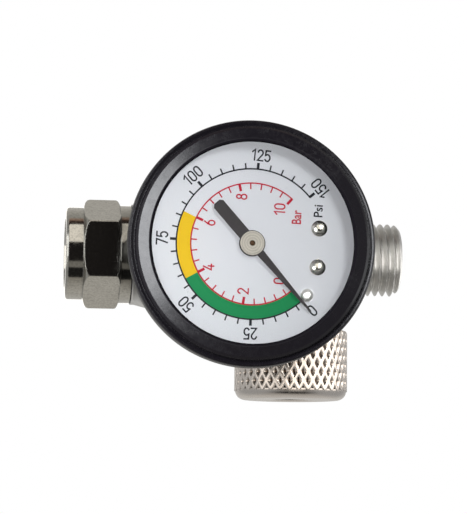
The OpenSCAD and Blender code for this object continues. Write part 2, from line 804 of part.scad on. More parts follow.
// Hollow knob with a plain rounded end; its diamond knurl is drawn as its outer envelope
module control_knob() {
    end_round = 1.7;
    color([0.80, 0.76, 0.71])
    valve_axis() difference() {
        rotate_extrude() polygon([
            [0, knob_top], [knob_r - 0.5, knob_top], [knob_r, knob_top + 0.5],
            [knob_r, knob_end - end_round - 0.6],
            for (a = [0 : 15 : 90]) [
                knob_r - 0.1 - end_round * (1 - cos(a)),
                knob_end - end_round * (1 - sin(a))
            ],
            [0, knob_end]
        ]);
        translate([0, 0, knob_top - past]) cylinder(r = 7.4, h = knob_web_z - knob_top + past);
        cylinder(r = stem_foot_r + touch, h = knob_end - 2);
        translate([0, 0, screw_seat - 1]) cylinder(r = 1.6, h = 9);
        translate([0, 0, screw_seat]) cylinder(r = 3, h = 9);
    }
}

module knob_screw() {
    color([0.72, 0.72, 0.72])
    valve_axis() translate([0, 0, screw_seat + touch]) small_screw(2.7, 1.5, 1.5, 6);
}

die_cast_body();
bezel_ring();
lens();
lens_gasket();
dial_plate();
dial_rivets();
pointer_stop_pin();
bourdon_socket();
socket_seal();
socket_screws();
bourdon_tube();
tube_tip();
tip_link_pin();
link_bar();
movement_back_plate();
movement_front_plate();
movement_pillars();
movement_screws();
front_plate_screws();
hairspring();
hairspring_stud();
sector_gear();
sector_arbor();
sector_link_pin();
pinion_arbor();
pointer();
pointer_hub();
swivel_nut();
nut_retaining_wire();
outlet_washer();
valve_bonnet();
bonnet_washer();
stem_o_ring();
valve_plug();
plug_seal();
valve_stem();
control_knob();
knob_screw();
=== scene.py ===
"""Looks of the in-line air pressure regulator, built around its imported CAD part.

Everything is placed from the CAD boxes and the record's joints. Lengths inside the mesh builders are
in millimetres and are scaled to metres when a mesh is made.
"""
import json
import math

import bmesh
import bpy
from mathutils import Matrix, Vector

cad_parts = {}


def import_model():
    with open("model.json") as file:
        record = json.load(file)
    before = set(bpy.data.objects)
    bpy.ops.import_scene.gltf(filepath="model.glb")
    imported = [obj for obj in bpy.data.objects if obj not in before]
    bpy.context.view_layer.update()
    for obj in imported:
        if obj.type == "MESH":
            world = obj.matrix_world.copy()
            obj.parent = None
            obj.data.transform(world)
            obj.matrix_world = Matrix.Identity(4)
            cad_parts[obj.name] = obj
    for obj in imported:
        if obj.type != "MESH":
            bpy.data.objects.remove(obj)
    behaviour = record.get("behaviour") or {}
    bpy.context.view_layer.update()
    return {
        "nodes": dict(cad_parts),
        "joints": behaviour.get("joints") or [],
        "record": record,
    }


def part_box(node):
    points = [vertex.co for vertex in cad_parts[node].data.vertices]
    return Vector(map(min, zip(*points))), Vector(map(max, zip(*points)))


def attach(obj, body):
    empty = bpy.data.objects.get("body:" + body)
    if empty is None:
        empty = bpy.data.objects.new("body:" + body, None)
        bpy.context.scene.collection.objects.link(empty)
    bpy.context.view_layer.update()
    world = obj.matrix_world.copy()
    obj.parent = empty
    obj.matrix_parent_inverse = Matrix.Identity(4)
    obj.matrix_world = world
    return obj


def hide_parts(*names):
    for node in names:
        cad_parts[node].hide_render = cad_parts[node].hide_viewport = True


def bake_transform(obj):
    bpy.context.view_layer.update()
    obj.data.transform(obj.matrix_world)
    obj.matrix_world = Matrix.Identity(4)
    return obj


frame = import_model()
nodes = frame["nodes"]
scene = bpy.context.scene
scene.view_settings.view_transform = "Standard"

# ------------------------------------------------------------------ places taken from the frame
bezel_lo, bezel_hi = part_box("bezel_ring")
knob_lo, knob_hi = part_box("control_knob")
body_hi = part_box("die_cast_body")[1]
# In metres
GAUGE_X = (bezel_lo.x + bezel_hi.x) / 2
VALVE_X = (knob_lo.x + knob_hi.x) / 2
FACE_Y = bezel_lo.y
WINDOW_R = min(math.hypot(v.co.x - GAUGE_X, v.co.z) for v in nodes["bezel_ring"].data.vertices)
# In millimetres: the dial's front, the knob's radius and ends, and the inlet's end from the gauge's axis
DIAL_FRONT = -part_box("dial_plate")[0].y * 1000
KNOB_R = (knob_hi.x - knob_lo.x) / 2 * 1000
KNOB_TOP = -knob_hi.z * 1000
KNOB_END = -knob_lo.z * 1000
INLET_END = (body_hi.x - GAUGE_X) * 1000

# The sector's arbor stands at -55 degrees in the upright gauge, so its joint tells the gauge's turn
ARBOR_ANGLE = math.radians(-55)
arbor = next(joint["pos_m"] for joint in frame["joints"] if joint["name"] == "sector_swing")
GAUGE_TURN = math.atan2(arbor[2], arbor[0] - GAUGE_X) - ARBOR_ANGLE


def dial_frame():
    """From the upright gauge, x right, y up, z forward, in millimetres, to the row frame in metres."""
    c, s = math.cos(GAUGE_TURN), math.sin(GAUGE_TURN)
    turn = Matrix(((c, -s, 0, 0), (0, 0, -1, 0), (s, c, 0, 0), (0, 0, 0, 1)))
    return Matrix.Translation((GAUGE_X, 0, 0)) @ turn @ Matrix.Scale(0.001, 4)


def dial_point(r, angle):
    """A place on the upright dial at an angle clockwise from its foot, in degrees."""
    a = math.radians(angle)
    return -r * math.sin(a), -r * math.cos(a)


DIAL = dial_frame()
# Along the knob's axis, downwards, and along the air line from the gauge's axis
VALVE = Matrix.Translation((VALVE_X, 0, 0)) @ Matrix.Rotation(math.pi, 4, "X") @ Matrix.Scale(0.001, 4)
LINE = Matrix.Translation((GAUGE_X, 0, 0)) @ Matrix.Scale(0.001, 4)


# ------------------------------------------------------------------ small node-graph helper
class Graph:
    """Builds the nodes of a material, or of the world, with short calls."""

    def __init__(self, name, kind=bpy.data.materials, output="ShaderNodeOutputMaterial", place="Object"):
        self.owner = kind.new(name)
        self.owner.use_nodes = True
        self.tree = self.owner.node_tree
        self.tree.nodes.clear()
        self.out = self.node(output)
        self.coord = self.node("ShaderNodeTexCoord").outputs[place]

    def node(self, kind, **settings):
        n = self.tree.nodes.new(kind)
        for key, value in settings.items():
            setattr(n, key, value)
        return n

    def set(self, socket, value):
        """Links a socket to another one, or gives it a value. Colours get their fourth number here."""
        if isinstance(value, bpy.types.NodeSocket):
            self.tree.links.new(value, socket)
        elif socket.type == "RGBA" and len(value) == 3:
            socket.default_value = (*value, 1)
        else:
            socket.default_value = value

    def coordinate(self, letter):
        """One coordinate of the shaded place."""
        parts = self.node("ShaderNodeSeparateXYZ")
        self.set(parts.inputs[0], self.coord)
        return parts.outputs[letter]

    def from_axis(self, axis_x, letter):
        """Distance from an axis at axis_x. The letter names the other coordinate across that axis."""
        across = self.math("POWER", self.math("SUBTRACT", self.coordinate("X"), axis_x), 2.0)
        return self.math("SQRT", self.math("ADD", across, self.math("POWER", self.coordinate(letter), 2.0)))

    def mapped(self, **settings):
        """The place, scaled or shifted."""
        n = self.node("ShaderNodeMapping")
        self.set(n.inputs["Vector"], self.coord)
        for name, value in settings.items():
            self.set(n.inputs[name], value)
        return n.outputs["Vector"]

    def noise(self, scale, detail=4.0, rough=0.55, vector=None):
        n = self.node("ShaderNodeTexNoise")
        self.set(n.inputs["Vector"], vector or self.coord)
        self.set(n.inputs["Scale"], scale)
        self.set(n.inputs["Detail"], detail)
        self.set(n.inputs["Roughness"], rough)
        return n.outputs["Fac"]

    def voronoi(self, scale):
        n = self.node("ShaderNodeTexVoronoi")
        self.set(n.inputs["Vector"], self.coord)
        self.set(n.inputs["Scale"], scale)
        return n.outputs["Distance"]

    def wave(self, scale, distortion, vector=None, **settings):
        n = self.node("ShaderNodeTexWave", **settings)
        self.set(n.inputs["Vector"], vector or self.coord)
        self.set(n.inputs["Scale"], scale)
        self.set(n.inputs["Distortion"], distortion)
        return n.outputs["Fac"]

    def ramp(self, fac, stops):
        """A colour ramp from stops of a position and a grey level or colour."""
        n = self.node("ShaderNodeValToRGB")
        elements = n.color_ramp.elements
        while len(elements) < len(stops):
            elements.new(0.5)
        for element, (position, colour) in zip(elements, stops):
            element.position = position
            if isinstance(colour, (int, float)):
                colour = (colour, colour, colour)
            element.color = (*colour, 1)
        self.set(n.inputs["Fac"], fac)
        return n.outputs["Color"]

    def uneven(self, scale, low, high):
        """A cloudy value, for roughness."""
        return self.ramp(self.noise(scale, 4, 0.6), [(0.3, low), (0.7, high)])

    def math(self, operation, *values):
        n = self.node("ShaderNodeMath", operation=operation)
        for socket, value in zip(n.inputs, values):
            self.set(socket, value)
        return n.outputs["Value"]

    def mix(self, fac, a, b, blend="MIX"):
        n = self.node("ShaderNodeMix", data_type="RGBA", blend_type=blend)
        colour_a, colour_b = [socket for socket in n.inputs if socket.type == "RGBA"]
        self.set(n.inputs[0], fac)
        self.set(colour_a, a)
        self.set(colour_b, b)
        return next(socket for socket in n.outputs if socket.type == "RGBA")

    def times(self, tone, shade):
        return self.mix(1.0, tone, shade, "MULTIPLY")

    def bump(self, height, strength, distance, normal=None):
        n = self.node("ShaderNodeBump")
        self.set(n.inputs["Strength"], strength)
        self.set(n.inputs["Distance"], distance)
        self.set(n.inputs["Height"], height)
        if normal is not None:
            self.set(n.inputs["Normal"], normal)
        return n.outputs["Normal"]

    def bevel(self, radius, samples=4):
        n = self.node("ShaderNodeBevel", samples=samples)
        self.set(n.inputs["Radius"], radius)
        return n.outputs["Normal"]

    def painted_corner_shade(self, tone, distance, low, high, floor):
        """Paints shade into a tone in deep corners, where little of the studio reaches."""
        n = self.node("ShaderNodeAmbientOcclusion", samples=6)
        self.set(n.inputs["Distance"], distance)
        return self.times(tone, self.ramp(n.outputs["AO"], [(low, floor), (high, 1.0)]))

    def output(self, kind, **values):
        """A node's first output, with its inputs set by name."""
        n = self.node(kind)
        for name, value in values.items():
            self.set(n.inputs[name.replace("_", " ")], value)
        return n.outputs[0]

    def mix_shaders(self, fac, first, second):
        n = self.node("ShaderNodeMixShader")
        for socket, value in zip(n.inputs, (fac, first, second)):
            self.set(socket, value)
        return n.outputs[0]

    def finish(self, shader):
        self.set(self.out.inputs["Surface"], shader)
        return self.owner

    def surface(self, colour, rough, metal=0.0, normal=None, **more):
        """Ends a material with the principled shader."""
        values = {"Base_Color": colour, "Roughness": rough, "Metallic": metal, **more}
        if normal is not None:
            values["Normal"] = normal
        return self.finish(self.output("ShaderNodeBsdfPrincipled", **values))


# ------------------------------------------------------------------ materials
def shades(colour, spread):
    """A darker and a lighter version of a colour."""
    return tuple(c * (1 - spread) for c in colour), tuple(min(1, c * (1 + spread)) for c in colour)


def metal(name, colour, rough, grain, grain_depth, spread, rough_spread=0.08, bevel=0.00015):
    """Plain metal with fine grain, cloudy tone and slightly softened edges."""
    g = Graph(name)
    tone = g.mix(g.noise(260, 5, 0.6), *shades(colour, spread))
    fine = g.noise(grain, 3, 0.7)
    normal = g.bump(fine, 0.25, grain_depth, g.bevel(bevel) if bevel else None)
    return g.surface(tone, g.uneven(900, rough - rough_spread, rough + rough_spread), 1.0, normal)


def cast_zinc():
    g = Graph("cast_zinc")
    tone = g.mix(g.noise(140, 5, 0.6), (0.56, 0.56, 0.55), (0.74, 0.74, 0.72))
    stains = g.ramp(g.noise(300, 4, 0.6), [(0.30, 0.90), (0.55, 1.0)])
    # Painted shade: the zinc's tone darkens in deep corners
    tone = g.painted_corner_shade(g.times(tone, stains), 0.006, 0.12, 0.62, 0.12)
    # Painted shade under the bezel's rim: darker from 4.4 to 10 mm in front of the air line's axis, towards
    # the gauge's face
    painted_face_shade = g.ramp(g.math("MULTIPLY", g.coordinate("Y"), -50.0), [(0.22, 1.0), (0.50, 0.36)])
    skin = g.bump(g.noise(2600, 4, 0.65), 0.35, 0.00005, g.bevel(0.0003, 6))
    pits = g.ramp(g.voronoi(1500), [(0.05, 0.0), (0.16, 1.0)])
    normal = g.bump(pits, 0.18, 0.00003, skin)
    return g.surface(g.times(tone, painted_face_shade), g.uneven(700, 0.30, 0.46), 1.0, normal)


def turned_zinc():
    """The machined thread of the inlet."""
    g = Graph("turned_zinc")
    tone = g.mix(g.noise(500, 5, 0.6), (0.50, 0.50, 0.48), (0.70, 0.69, 0.67))
    specks = g.ramp(g.voronoi(420), [(0.02, (0.25, 0.18, 0.14)), (0.05, 1.0)])
    turning = g.wave(1500, 0.6, wave_type="BANDS", bands_direction="X")
    marks = g.bump(turning, 0.12, 0.00002, g.bevel(0.00012))
    normal = g.bump(g.noise(4200, 3, 0.6), 0.25, 0.00003, marks)
    return g.surface(g.times(tone, specks), g.uneven(1400, 0.30, 0.44), 1.0, normal)


def nickel():
    g = Graph("nickel_plate")
    tone = g.mix(g.noise(220, 4, 0.55), (0.42, 0.41, 0.37), (0.50, 0.485, 0.44))
    specks = g.ramp(g.noise(2600, 3, 0.6), [(0.30, 0.80), (0.60, 1.06)])
    # Painted shade: the nickel's tone darkens in deep corners, such as the nut's heel beside the gauge's
    # cup
    tone = g.painted_corner_shade(g.times(tone, specks), 0.012, 0.30, 0.80, 0.04)
    normal = g.bump(g.noise(5200, 3, 0.7), 0.14, 0.00001, g.bevel(0.0003, 6))
    return g.surface(tone, g.uneven(1300, 0.07, 0.14), 1.0, normal)


def knob_nickel():
    """Nickel plate, with shade painted into the hollows of the knurl, and greyer on the plain band at the
    end.
    """
    g = Graph("knob_nickel")
    tone = g.mix(g.noise(260, 4, 0.55), (0.80, 0.735, 0.67), (0.92, 0.86, 0.80))
    # 1 on the knurl's ridges, and less by one for each millimetre towards the axis
    hollow_r = (KNOB_R - 1) / 1000
    height = g.math("MULTIPLY", g.math("SUBTRACT", g.from_axis(VALVE_X, "Y"), hollow_r), 1000.0)
    # Painted shade: the tone darkens deep in the knurl's hollows
    painted_hollow_shade = g.ramp(g.math("ADD", height, g.math("MULTIPLY", g.noise(1500, 3, 0.6), 0.12)),
                   [(0.50, (0.04, 0.03, 0.03)), (0.74, (0.50, 0.45, 0.41)), (0.88, 1.0)])
    # A ramp's positions end at 1, so lengths along the knob are taken in steps of 50 mm
    band = g.ramp(g.math("MULTIPLY", g.coordinate("Z"), -1000 / 50),
                  [((KNOB_END - 1.75) / 50, 0.0), ((KNOB_END - 1.55) / 50, 1.0)])
    tone = g.times(tone, g.mix(band, painted_hollow_shade, (0.74, 0.75, 0.76)))
    return g.surface(tone, g.uneven(1500, 0.20, 0.32), 1.0, g.bump(g.noise(4200, 3, 0.7), 0.14, 0.00002))


def black_paint():
    """Glossy paint with patches of dust. The thin inner edge beside the window is left matt."""
    g = Graph("black_paint")
    tone = g.mix(g.noise(180, 4, 0.6), (0.0035, 0.0028, 0.0042), (0.007, 0.006, 0.008))
    patches = g.ramp(g.noise(70, 3, 0.6), [(0.52, 0.0), (0.68, 1.0)])
    dots = g.math("MULTIPLY", g.ramp(g.voronoi(900), [(0.025, 1.0), (0.07, 0.0)]), patches)
    film = g.math("MULTIPLY", g.ramp(g.noise(1800, 4, 0.75), [(0.45, 0.0), (0.75, 1.0)]), patches)
    dust = g.math("MAXIMUM", dots, g.math("MULTIPLY", film, 0.25))
    tone = g.mix(g.math("MULTIPLY", dust, 0.18), tone, (0.32, 0.31, 0.31))
    from_window = g.math("MULTIPLY", g.math("SUBTRACT", g.from_axis(GAUGE_X, "Z"), WINDOW_R), 1000.0)
    inner = g.ramp(from_window, [(0.42, 1.0), (0.58, 0.0)])
    rough = g.mix(inner, g.uneven(900, 0.21, 0.30), (0.85, 0.85, 0.85))
    gloss = g.math("MULTIPLY_ADD", inner, -0.34, 0.38)
    normal = g.bump(g.noise(2400, 3, 0.6), 0.10, 0.00002, g.bevel(0.00008))
    return g.surface(tone, rough, 0.0, normal, Specular_IOR_Level=gloss)


def dial_white():
    g = Graph("dial_print")
    tone = g.mix(g.noise(90, 3, 0.5), (0.80, 0.785, 0.815), (0.84, 0.825, 0.85))
    grain = g.ramp(g.noise(7000, 2, 0.6), [(0.35, 0.96), (0.65, 1.0)])
    specks = g.ramp(g.voronoi(260), [(0.012, (0.45, 0.45, 0.5)), (0.03, 1.0)])
    normal = g.bump(g.noise(3500, 3, 0.6), 0.15, 0.00002)
    return g.surface(g.times(g.times(tone, grain), specks), 0.55, 0.0, normal, Specular_IOR_Level=0.25)


def ink(name, colour):
    """Screen-printed ink, slightly uneven."""
    g = Graph(name)
    tone = g.mix(g.noise(2600, 4, 0.65), *shades(colour, 0.12))
    normal = g.bump(g.noise(5200, 2, 0.6), 0.2, 0.00001)
    return g.surface(tone, 0.55, 0.0, normal, Specular_IOR_Level=0.2)


def lens_clear():
    g = Graph("clear_lens")
    clear = g.output("ShaderNodeBsdfTransparent", Color=(0.965, 0.98, 0.985))
    rough = g.ramp(g.noise(400, 3, 0.6), [(0.3, 0.03), (0.7, 0.07)])
    scratches = g.bump(g.noise(900, 3, 0.6, g.mapped(Scale=(1, 1, 14))), 0.04, 0.00001)
    gloss = g.output("ShaderNodeBsdfGlossy", Roughness=rough, Normal=scratches)
    mirrored = g.math("MULTIPLY", g.output("ShaderNodeFresnel", IOR=1.45), 0.8)
    return g.finish(g.mix_shaders(mirrored, clear, gloss))


def rubber():
    g = Graph("rubber")
    tone = g.mix(g.noise(500, 4, 0.6), (0.018, 0.018, 0.019), (0.04, 0.04, 0.041))
    normal = g.bump(g.noise(3000, 3, 0.65), 0.25, 0.00003)
    return g.surface(tone, g.ramp(g.noise(900), [(0.3, 0.55), (0.7, 0.75)]), 0.0, normal)


def nylon():
    g = Graph("nylon")
    tone = g.mix(g.noise(300, 4, 0.6), (0.72, 0.70, 0.62), (0.82, 0.80, 0.74))
    normal = g.bump(g.noise(2500, 3, 0.6), 0.2, 0.00002)
    return g.surface(tone, 0.45, 0.0, normal, Subsurface_Weight=0.15, Subsurface_Scale=0.0006)


def pointer_paint():
    g = Graph("pointer_paint")
    tone = g.mix(g.noise(700, 5, 0.65), (0.028, 0.021, 0.022), (0.048, 0.037, 0.038))
    scuffs = g.ramp(g.noise(1700, 4, 0.75), [(0.62, 0.0), (0.78, 1.0)])
    tone = g.mix(g.math("MULTIPLY", scuffs, 0.25), tone, (0.22, 0.20, 0.20))
    return g.surface(tone, 0.55, 0.0, g.bump(g.noise(2400, 3, 0.6), 0.3, 0.00003))


def hub_metal():
    """Turned face of the pointer's hub."""
    g = Graph("hub_metal")
    rings = g.wave(700, 0.4, g.mapped(Location=(-GAUGE_X, 0, 0)), wave_type="RINGS", rings_direction="Y")
    tone = g.mix(rings, (0.53, 0.475, 0.405), (0.67, 0.605, 0.52))
    normal = g.bump(rings, 0.10, 0.00002, g.bevel(0.00012))
    return g.surface(tone, g.uneven(1200, 0.34, 0.48), 1.0, normal)


# By the record's material slots
MATERIALS = {
    "cast_zinc": cast_zinc(),
    "nickel_plate": nickel(),
    "knob_nickel": knob_nickel(),
    "black_paint": black_paint(),
    "clear_lens": lens_clear(),
    "rubber": rubber(),
    "dial_print": dial_white(),
    "bright_pin": metal("bright_pin", (0.92, 0.87, 0.79), 0.17, 9000, 0.00001, 0.06, 0.04, 0.0),
    "pointer_paint": pointer_paint(),
    "hub_metal": hub_metal(),
    "brass": metal("brass", (0.72, 0.53, 0.25), 0.26, 6000, 0.00002, 0.14),
    "bronze_tube": metal("bronze_tube", (0.64, 0.42, 0.21), 0.30, 5000, 0.00002, 0.16),
    "steel": metal("steel", (0.58, 0.585, 0.60), 0.28, 6000, 0.00002, 0.12),
    "copper": metal("copper", (0.70, 0.34, 0.20), 0.34, 5000, 0.00002, 0.16),
    "nylon": nylon(),
}
# Two nodes that look a little different from the rest of their slot
SPECIAL = {
    "pinion_arbor": metal("arbor", (0.14, 0.075, 0.045), 0.34, 6000, 0.00002, 0.3),
    "pointer_stop_pin": metal("stop_pin", (0.98, 0.95, 0.91), 0.40, 9000, 0.00001, 0.04, 0.04, 0.0),
}
THREAD_ZINC = turned_zinc()
INK_BLACK = ink("ink_black", (0.022, 0.022, 0.028))
INK_RED = ink("ink_red", (0.56, 0.015, 0.040))
INK_GREEN = ink("ink_green", (0.010, 0.27, 0.085))
INK_YELLOW = ink("ink_yellow", (0.92, 0.56, 0.012))

for part in frame["record"]["subparts"]:
    node_mesh = nodes[part["node"]].data
    node_mesh.materials.clear()
    node_mesh.materials.append(SPECIAL.get(part["node"], MATERIALS[part["material_slot"]]))


# ------------------------------------------------------------------ mesh helpers
def add_piece(name, points, faces, matrix, material, body, sharp=0):
    """A new mesh piece from points in a part's own millimetres. Edges under the angle sharp are smooth."""
    mesh = bpy.data.meshes.new(name)
    mesh.from_pydata([matrix @ Vector(p) for p in points], [], faces)
    mesh.validate()
    bm = bmesh.new()
    bm.from_mesh(mesh)
    bmesh.ops.recalc_face_normals(bm, faces=bm.faces)
    for face in bm.faces:
        face.smooth = sharp > 0
    for edge in bm.edges:
        if len(edge.link_faces) == 2:
            edge.smooth = edge.calc_face_angle(0) < math.radians(sharp)
    bm.to_mesh(mesh)
    bm.free()
    mesh.materials.append(material)
    obj = bpy.data.objects.new(name, mesh)
    scene.collection.objects.link(obj)
    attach(obj, body)
    return obj


def copy_node(name, node):
    """A copy of a node's mesh that stands for the node and may be changed."""
    obj = bpy.data.objects.new(name, nodes[node].data.copy())
    scene.collection.objects.link(obj)
    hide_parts(node)
    return obj


def revolve(profile, steps, warp):
    """Points and faces of a closed profile of (radius, z) turned about z.

    warp(radius, z, angle, index) gives each point's own radius.
    """
    points, faces = [], []
    count = len(profile)
    for i in range(steps):
        a = 2 * math.pi * i / steps
        for k, (r, z) in enumerate(profile):
            r = warp(r, z, a, k)
            points.append((r * math.cos(a), r * math.sin(a), z))
    for i in range(steps):
        j = (i + 1) % steps
        for k in range(count):
            m = (k + 1) % count
            faces.append((i * count + k, i * count + m, j * count + m, j * count + k))
    return points, faces


def clamped(value):
    """The value held between 0 and 1."""
    return min(1.0, max(0.0, value))


# ------------------------------------------------------------------ the knob with its diamond knurl
KNURL_CELLS = 38  # diamonds round the knob
KNURL_PITCH = 3.05  # length of a diamond
KNURL_DEPTH = 0.5
KNURL_STEPS = 14  # mesh steps along a diamond, and round it
RIDGE_HALF = 0.17  # half a ridge's width, and its flank's, as shares of a diamond
RIDGE_FLANK = 0.30


def knurl_height(u, v):
    """0 on the ridges and -1 in the middle of a diamond."""
    a, b = (u + v) % 1.0, (u - v) % 1.0
    near = min(a, 1 - a, b, 1 - b)
    x = clamped((near - RIDGE_HALF) / RIDGE_FLANK)
    return -(0.75 * x + 0.25 * x * x * (3 - 2 * x))


def build_knob():
    """The knob in millimetres down its axis: a cup that is closed at its far end round the stem's screw."""
    inner_r, web_z, stem_r = 7.4, 20.5, 2.52
    screw_seat, recess_r, screw_hole_r = 23.9, 3.0, 1.6
    edge, end_round, band = 0.35, 1.7, 1.55
    # The knurl is a little smaller where it begins
    lead_length, lead_drop = 0.45, 0.22
    plain_r = KNOB_R - 0.14
    knurl_start, knurl_end = KNOB_TOP + 0.05, KNOB_END - band
    rows = round((knurl_end - knurl_start) / KNURL_PITCH * KNURL_STEPS)
    profile = [(inner_r, web_z), (inner_r, KNOB_TOP + edge)]
    profile += [(inner_r + edge, KNOB_TOP), (KNOB_R - 0.7, KNOB_TOP)]
    first = len(profile)
    profile += [(KNOB_R, knurl_start + (knurl_end - knurl_start) * i / rows) for i in range(rows + 1)]
    last = len(profile) - 1
    profile += [(plain_r, knurl_end + 0.08), (plain_r, KNOB_END - end_round - 0.05)]
    for i in range(9):
        a = math.radians(90 * i / 8)
        profile.append((plain_r - end_round * (1 - math.cos(a)), KNOB_END - end_round * (1 - math.sin(a))))
    profile += [
        (recess_r + edge, KNOB_END), (recess_r, KNOB_END - 0.3), (recess_r, screw_seat),
        (screw_hole_r, screw_seat), (screw_hole_r, screw_seat - 0.25),
        (stem_r, screw_seat - edge), (stem_r, web_z),
    ]

    def knurled(r, z, angle, index):
        if not first <= index <= last:
            return r
        u = KNURL_CELLS * angle / (2 * math.pi)
        v = (z - knurl_end) / KNURL_PITCH + 0.5
        lead = clamped((z - knurl_start) / lead_length)
        return r - lead_drop * (1 - lead) ** 2 + KNURL_DEPTH * knurl_height(u, v)

    points, faces = revolve(profile, KNURL_CELLS * KNURL_STEPS, knurled)
    material = MATERIALS["knob_nickel"]
    knob = add_piece("knob_knurled", points, faces, VALVE, material, "knob", sharp=50)
    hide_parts("control_knob")
    return knob


# ------------------------------------------------------------------ the cast body and its helical thread
NECK_END = 19.5
THREAD_PITCH = 1.337
THREAD_CREST = 6.58
THREAD_ROOT = 5.52
THREAD_PHASE = 0.55  # where the helix starts, as a share of the pitch
BORE_R = 2.75


def build_body():
    """The cast body, with its ringed thread cut off just past the neck."""
    # In metres, as the node's mesh is
    cut, near_line = GAUGE_X + (NECK_END + 0.15) / 1000, 0.0078
    body = copy_node("cast_body", "die_cast_body")
    bm = bmesh.new()
    bm.from_mesh(body.data)
    # Only faces near the line's axis are cut, as the gauge's cup reaches as far along x
    near = [face for face in bm.faces if max(vert.co.x for vert in face.verts) > cut]
    near = [face for face in near if max(vert.co.yz.length for vert in face.verts) < near_line]
    geometry = list({item for face in near for item in (*face.verts, *face.edges)}) + near
    bmesh.ops.bisect_plane(bm, geom=geometry, plane_co=(cut, 0, 0), plane_no=(1, 0, 0), clear_outer=True)
    bm.to_mesh(body.data)
    bm.free()
    body.data.materials.clear()
    body.data.materials.append(MATERIALS["cast_zinc"])
    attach(body, "body")


def build_thread():
    """The inlet's thread as a right-handed helix, in millimetres along the line."""
    start = NECK_END + 0.05
    length = INLET_END - start
    around, rows_per_mm = 144, 14
    root_flat, crest_flat = 0.10, 0.03
    chamfer, chamfer_depth = 0.8, 0.85
    undercut, run_out = 0.7, 1.2
    rows = int(length * rows_per_mm)
    profile = [(BORE_R, start), (THREAD_ROOT - 0.02, start)]
    first = len(profile)
    profile += [(THREAD_CREST, start + 0.02 + (length - 0.04) * i / rows) for i in range(rows + 1)]
    last = len(profile) - 1
    profile += [(THREAD_CREST - 1.02, INLET_END), (BORE_R + 1.0, INLET_END), (BORE_R, INLET_END - 0.9)]

    def threaded(r, z, angle, index):
        if not first <= index <= last:
            return r
        phase = ((z - start) / THREAD_PITCH - angle / (2 * math.pi) + THREAD_PHASE) % 1.0
        flank = abs(phase - 0.5) * 2
        rise = clamped((flank - root_flat) / (1 - root_flat - crest_flat))
        radius = THREAD_ROOT + (THREAD_CREST - THREAD_ROOT) * rise
        end_limit = THREAD_CREST - chamfer_depth * max(0.0, z - (INLET_END - chamfer)) / chamfer
        neck_limit = THREAD_ROOT + max(0.0, z - (start + undercut)) * run_out
        return min(radius, max(min(end_limit, neck_limit), THREAD_ROOT - 0.05))

    points, faces = revolve(profile, around, threaded)
    # The revolve stands on z, and the line runs along x
    points = [(z, x, y) for x, y, z in points]
    return add_piece("inlet_thread", points, faces, LINE, THREAD_ZINC, "body", sharp=60)


# ------------------------------------------------------------------ the Bourdon tube
def build_tube():
    """A copy of the tube's node, with its place baked into its mesh."""
    tube = copy_node("bourdon_coil", "bourdon_tube")
    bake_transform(tube)


# ------------------------------------------------------------------ the dial's print
# Millimetres on the upright dial, and degrees clockwise from its foot
ZERO_ANGLE = 42.2
PSI_STEP = 45.93 / 5  # a fifth of 25 psi
BAR_STEP = 26.65 * 0.4  # a fifth of 2 bar
PSI_TICKS = 31
BAR_TICKS = 26
TICKS_A_NUMBER = 5
# The scales and the green band begin under the resting pointer, a little after their even steps would
SCALE_START = ZERO_ANGLE + 3.6
# Inner and outer radii
PSI_ARC = (12.83, 13.09)
BAR_ARC = (10.36, 10.60)
BAND = (10.5, 12.9)
PSI_NUMBER_R = 15.4
# Degrees by which two of the numbers stand further on than their ticks
NUMBER_SHIFT = {"0": 2.4, "125": 1.3}
# Places of the inner numbers and the two words
BAR_NUMBERS = {
    "0": (-6.1, -5.0), "2": (-8.22, 1.10), "4": (-4.45, 7.2),
    "6": (3.15, 7.40), "8": (8.0, 2.15), "10": (6.25, -4.5),
}
PSI_WORD = (6.40, -11.2)
BAR_WORD = (5.10, -7.5)
# How far each layer of the print stands off the dial
BACK_OF_PRINT = 0.002
BAND_TOP, BLACK_TOP, RED_TOP, NUMBER_TOP = 0.014, 0.022, 0.024, 0.026
# The pieces of print and their inks
PRINTS = {
    "scale_black": INK_BLACK, "scale_red": INK_RED, "band_green": INK_GREEN,
    "band_yellow": INK_YELLOW, "numbers_black": INK_BLACK, "numbers_red": INK_RED,
}


def sector_mesh(parts, radii, a0, a1, top):
    """Adds a thin flat arc to parts."""
    points, faces = parts
    steps = int(abs(a1 - a0) / 1.5)
    base = len(points)
    low, high = DIAL_FRONT + BACK_OF_PRINT, DIAL_FRONT + top
    inner, outer = radii
    for i in range(steps + 1):
        a = a0 + (a1 - a0) * i / steps
        for r, z in ((inner, low), (outer, low), (outer, high), (inner, high)):
            points.append((*dial_point(r, a), z))
    for i in range(steps):
        p, q = base + 4 * i, base + 4 * i + 4
        for k in range(4):
            m = (k + 1) % 4
            faces.append((p + k, p + m, q + m, q + k))
    faces.append((base, base + 1, base + 2, base + 3))
    last = base + 4 * steps
    faces.append((last + 3, last + 2, last + 1, last))


def tick_mesh(parts, inner, outer, angle, width, top):
    """Adds a thin straight radial tick to parts."""
    points, faces = parts
    base = len(points)
    out = Vector(dial_point(1, angle))
    side = Vector((-out.y, out.x)) * width / 2
    corners = [out * inner - side, out * outer - side, out * outer + side, out * inner + side]
    for z in (DIAL_FRONT + BACK_OF_PRINT, DIAL_FRONT + top):
        points += [(corner.x, corner.y, z) for corner in corners]
    faces += [(base, base + 1, base + 2, base + 3), (base + 4, base + 5, base + 6, base + 7)]
    for k in range(4):
        m = (k + 1) % 4
        faces.append((base + k, base + m, base + 4 + m, base + 4 + k))


